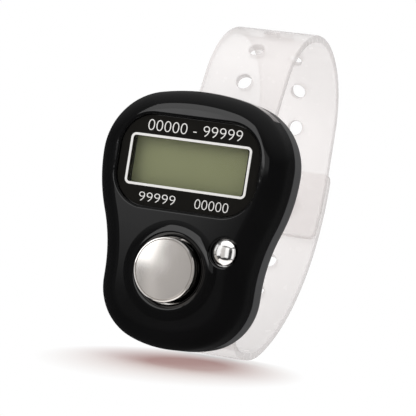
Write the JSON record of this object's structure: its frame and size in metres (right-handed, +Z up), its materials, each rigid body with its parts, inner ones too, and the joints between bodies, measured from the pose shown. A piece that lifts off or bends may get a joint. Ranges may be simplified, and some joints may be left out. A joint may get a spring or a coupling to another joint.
{
  "type": "finger tally counter",
  "caption": "Pear-shaped digital tally counter worn on the finger, with a display window, a large count button, a small reset button and a translucent holed strap looped behind.",
  "frame": {"origin": "on the surface that the counter stands on, under the middle of its bounding box", "axes": "+Z up the face, +X to the right of the face, the display looks along -Y"},
  "size_m": [0.029, 0.047, 0.0513],
  "materials": {
    "gloss_black": "moulded gloss",
    "satin_black": "moulded satin",
    "plate_black": "screen-printed matt film",
    "clear_acrylic": "clear polished",
    "display_glass": "clear polished",
    "polariser_film": "satin film",
    "reflector_film": "satin silver film",
    "satin_chrome": "satin disc in a polished rim",
    "bright_chrome": "polished",
    "clear_strap": "translucent soft plastic",
    "black_foam": "closed-cell foam",
    "zebra_rubber": "striped conductive rubber",
    "grey_rubber": "silicone rubber",
    "board_green": "solder resist",
    "black_resin": "epoxy drop",
    "component_body": "ceramic",
    "cell_steel": "nickel-plated",
    "spring_steel": "plated strip",
    "screw_steel": "zinc-plated"
  },
  "bodies": {
    "case": {"front_shell": "gloss_black", "rear_cover": "satin_black", "face_plate": "plate_black", "display_lens": "clear_acrylic", "lcd_polariser": "polariser_film", "lcd_front_glass": "display_glass", "lcd_rear_glass": "display_glass", "lcd_reflector": "reflector_film", "lcd_foam_pad": "black_foam", "zebra_connector": "zebra_rubber", "circuit_board": "board_green", "chip_blob": "black_resin", "board_components": "component_body", "count_dome": "grey_rubber", "reset_dome": "grey_rubber", "battery_cell": "cell_steel", "battery_positive_contact": "spring_steel", "battery_negative_contact": "spring_steel", "case_screws": "screw_steel", "board_screws": "screw_steel", "strap": "clear_strap", "strap_stud": "clear_strap"},
    "count_button": {"count_button": "satin_chrome"},
    "reset_button": {"reset_button": "bright_chrome"}
  },
  "joints": [
    {"name": "count_press", "type": "slide", "parent": "case", "child": "count_button", "axis": [0, 1, 0], "range_m": [0, 0.0008], "stiffness_N_per_m": 1800, "deforming": ["count_dome"]},
    {"name": "reset_press", "type": "slide", "parent": "case", "child": "reset_button", "axis": [0, 1, 0], "range_m": [0, 0.0005], "stiffness_N_per_m": 1800, "deforming": ["reset_dome"]}
  ]
}
